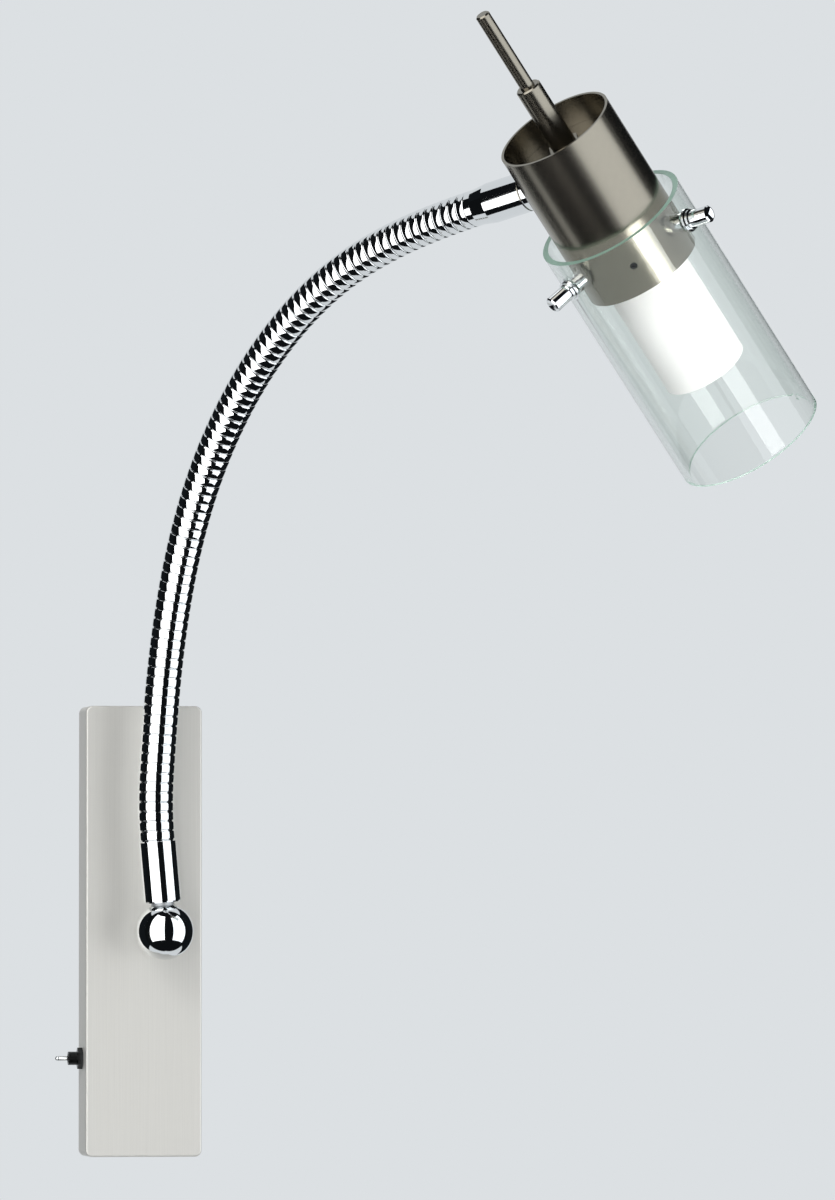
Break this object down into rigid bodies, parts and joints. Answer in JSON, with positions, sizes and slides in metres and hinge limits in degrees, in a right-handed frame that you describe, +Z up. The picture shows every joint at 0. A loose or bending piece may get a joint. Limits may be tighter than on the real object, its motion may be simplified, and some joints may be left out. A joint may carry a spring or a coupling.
{
  "type": "wall reading lamp",
  "caption": "Bedside wall lamp: slim metal wall box with a toggle switch, swivelling ball, ribbed flexible neck and a tilting head with a frosted glass inside a clear one.",
  "frame": {"origin": "middle of the wall box back, in the plane of the wall", "axes": "+X to the right seen from the room, +Y into the wall, +Z up"},
  "size_m": [0.3034, 0.2454, 0.4787],
  "materials": {
    "nickel_brushed": "brushed along its length",
    "nickel_satin": "satin nickel",
    "chrome": "polished",
    "zinc_steel": "zinc plated",
    "black_rubber": "moulded",
    "white_plastic": "moulded",
    "terminal_plastic": "moulded",
    "switch_plastic": "moulded",
    "steatite": "unglazed",
    "quartz_glass": "clear",
    "lead_metal": "drawn wire",
    "frosted_glass": "frosted",
    "clear_glass": "polished"
  },
  "bodies": {
    "wall_box": {"wall_bracket": "zinc_steel", "wall_cover": "nickel_brushed", "cover_screws": "zinc_steel", "cable_grommet": "black_rubber", "transformer_case": "white_plastic", "transformer_lid": "white_plastic", "terminal_block": "terminal_plastic", "terminal_screws": "zinc_steel", "earth_screw": "zinc_steel", "switch_body": "switch_plastic", "switch_bush": "chrome", "switch_nut": "chrome", "swivel_bush": "nickel_brushed", "bush_nut": "zinc_steel"},
    "switch_lever": {"toggle_lever": "chrome"},
    "swivel": {"swivel_spring": "zinc_steel", "swivel_nut": "zinc_steel", "swivel_stud": "zinc_steel", "swivel_ball": "chrome", "neck_nipple": "zinc_steel", "lower_ferrule": "chrome", "neck_link_01": "chrome"},
    "neck_02": {"neck_link_02": "chrome"},
    "neck_03": {"neck_link_03": "chrome"},
    "neck_04": {"neck_link_04": "chrome"},
    "neck_05": {"neck_link_05": "chrome"},
    "neck_06": {"neck_link_06": "chrome"},
    "neck_07": {"neck_link_07": "chrome"},
    "neck_08": {"neck_link_08": "chrome"},
    "neck_09": {"neck_link_09": "chrome"},
    "neck_10": {"neck_link_10": "chrome"},
    "neck_11": {"neck_link_11": "chrome"},
    "neck_12": {"neck_link_12": "chrome", "upper_ferrule": "chrome", "head_nipple": "zinc_steel", "head_spring": "zinc_steel", "head_nut": "zinc_steel"},
    "lamp_head": {"outer_saddle": "chrome", "inner_saddle": "zinc_steel", "holder_tube": "nickel_satin", "holder_floor": "nickel_satin", "handle_stub": "nickel_satin", "stub_nut": "nickel_satin", "handle_rod": "nickel_satin", "tie_nuts": "zinc_steel", "socket_plate": "zinc_steel", "ceramic_socket": "steatite", "socket_screws": "zinc_steel", "capsule": "quartz_glass", "capsule_pins": "lead_metal", "inner_glass": "frosted_glass", "glass_carrier": "nickel_satin", "carrier_screw": "nickel_satin", "outer_glass": "clear_glass", "screw_bosses": "chrome", "screw_washers": "chrome"},
    "glass_screw_1": {"thumb_screw_1": "chrome"},
    "glass_screw_2": {"thumb_screw_2": "chrome"},
    "glass_screw_3": {"thumb_screw_3": "chrome"}
  },
  "joints": [
    {"name": "switch_toggle", "type": "hinge", "parent": "wall_box", "child": "switch_lever", "pos_m": [-0.02875, -0.0125, -0.055], "axis": [0, 0, -1], "range_deg": [0, 24]},
    {"name": "base_swivel", "type": "hinge", "parent": "wall_box", "child": "swivel", "pos_m": [0.0065, -0.045, 0], "axis": [0, 1, 0], "range_deg": [-90, 90]},
    {"name": "neck_bow_01", "type": "hinge", "parent": "swivel", "child": "neck_02", "pos_m": [0.0027, -0.04538, 0.06814], "axis": [0.6917, 0.7218, -0.0234], "range_deg": [-10, 10]},
    {"name": "neck_sway_02", "type": "hinge", "parent": "neck_02", "child": "neck_03", "pos_m": [0.0046, -0.04665, 0.09717], "axis": [-0.7192, 0.6886, 0.0925], "range_deg": [-8, 5]},
    {"name": "neck_bow_03", "type": "hinge", "parent": "neck_03", "child": "neck_04", "pos_m": [0.00725, -0.04944, 0.12602], "axis": [0.6901, 0.7235, 0.0173], "range_deg": [-10, 10]},
    {"name": "neck_sway_04", "type": "hinge", "parent": "neck_04", "child": "neck_05", "pos_m": [0.01123, -0.05462, 0.15439], "axis": [-0.7028, 0.6575, 0.2715], "range_deg": [-8, 5]},
    {"name": "neck_bow_05", "type": "hinge", "parent": "neck_05", "child": "neck_06", "pos_m": [0.01692, -0.06253, 0.18181], "axis": [0.6972, 0.7132, 0.0721], "range_deg": [-10, 10]},
    {"name": "neck_sway_06", "type": "hinge", "parent": "neck_06", "child": "neck_07", "pos_m": [0.02482, -0.07309, 0.20775], "axis": [-0.6404, 0.5772, 0.5066], "range_deg": [-8, 5]},
    {"name": "neck_bow_07", "type": "hinge", "parent": "neck_07", "child": "neck_08", "pos_m": [0.03507, -0.08609, 0.23168], "axis": [0.706, 0.7033, 0.0836], "range_deg": [-10, 10]},
    {"name": "neck_sway_08", "type": "hinge", "parent": "neck_08", "child": "neck_09", "pos_m": [0.04769, -0.1011, 0.25317], "axis": [-0.5288, 0.4511, 0.7189], "range_deg": [-8, 5]},
    {"name": "neck_bow_09", "type": "hinge", "parent": "neck_09", "child": "neck_10", "pos_m": [0.06284, -0.11772, 0.27162], "axis": [0.6946, 0.7168, 0.061], "range_deg": [-10, 10]},
    {"name": "neck_sway_10", "type": "hinge", "parent": "neck_10", "child": "neck_11", "pos_m": [0.08057, -0.1357, 0.28605], "axis": [-0.336, 0.2484, 0.9085], "range_deg": [-8, 5]},
    {"name": "neck_bow_11", "type": "hinge", "parent": "neck_11", "child": "neck_12", "pos_m": [0.10003, -0.15473, 0.29633], "axis": [0.6856, 0.7257, 0.057], "range_deg": [-10, 10]},
    {"name": "head_turn", "type": "hinge", "parent": "neck_12", "child": "lamp_head", "pos_m": [0.15951, -0.21374, 0.31617], "axis": [0.6918, -0.6884, 0.2181], "range_deg": [-80, 80]},
    {"name": "glass_screw_turn_1", "type": "hinge", "parent": "lamp_head", "child": "glass_screw_1", "pos_m": [0.20207, -0.22454, 0.2961], "axis": [0.6918, -0.6884, 0.2181], "continuous": true},
    {"name": "glass_screw_turn_2", "type": "hinge", "parent": "lamp_head", "child": "glass_screw_2", "pos_m": [0.18109, -0.17272, 0.30268], "axis": [0.0462, 0.9061, 0.4205], "continuous": true},
    {"name": "glass_screw_turn_3", "type": "hinge", "parent": "lamp_head", "child": "glass_screw_3", "pos_m": [0.1556, -0.20924, 0.26826], "axis": [-0.738, -0.2177, -0.6387], "continuous": true}
  ]
}
